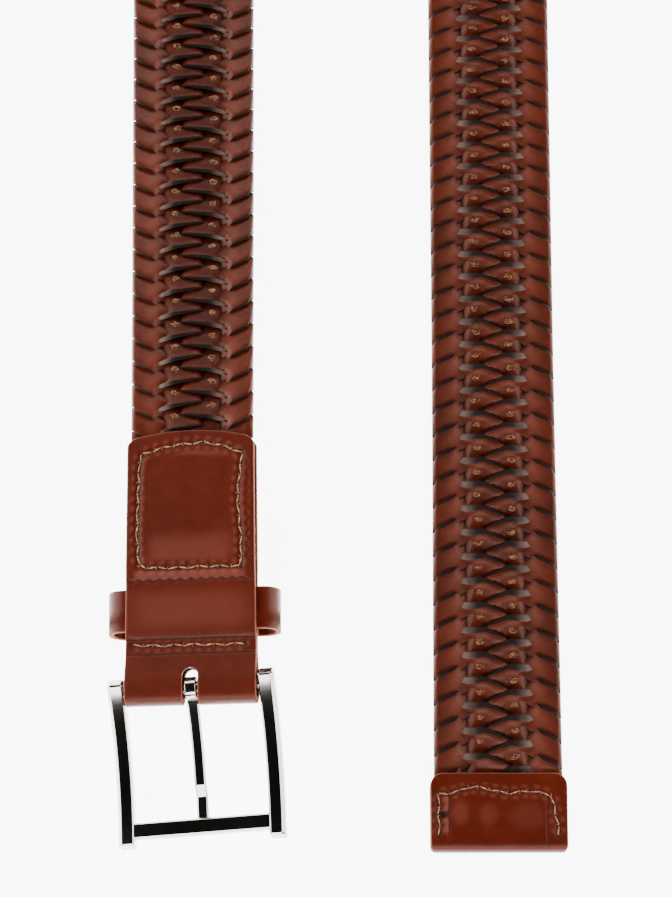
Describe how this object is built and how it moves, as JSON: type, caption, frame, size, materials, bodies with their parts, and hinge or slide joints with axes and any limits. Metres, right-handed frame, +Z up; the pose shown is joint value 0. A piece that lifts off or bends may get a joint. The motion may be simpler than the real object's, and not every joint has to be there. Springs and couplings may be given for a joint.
{
  "type": "braided belt",
  "caption": "Woven leather strap laid in a long loop, with a stitched buckle tab, keeper loop, bowed metal buckle with prong and stitched tip.",
  "frame": {"origin": "middle of the belt's footprint, on the surface it lies on", "axes": "+Z up from the surface, +Y along the two straight legs towards the far bend, +X from the buckle's leg to the tip's leg"},
  "size_m": [0.129, 0.518, 0.0352],
  "materials": {
    "braided_leather": "glossy chestnut leather strands, painted dark at their cut edges",
    "smooth_leather": "smooth semi-gloss chestnut leather with tan thread",
    "polished_metal": "polished nickel plate"
  },
  "bodies": {
    "strap": {"braided_strap": "braided_leather", "buckle_tab": "smooth_leather", "keeper_loop": "smooth_leather", "tip_cap": "smooth_leather"},
    "frame": {"buckle_frame": "polished_metal"},
    "prong": {"buckle_prong": "polished_metal"}
  },
  "joints": [
    {"name": "frame_swing", "type": "hinge", "parent": "strap", "child": "frame", "pos_m": [-0.0407, -0.21421, 0.0136], "axis": [-0.9835, -0.0523, -0.1734], "range_deg": [-90, 110]},
    {"name": "prong_swing", "type": "hinge", "parent": "frame", "child": "prong", "pos_m": [-0.0407, -0.21421, 0.0136], "axis": [0.9835, 0.0523, 0.1734], "range_deg": [0, 110]}
  ]
}
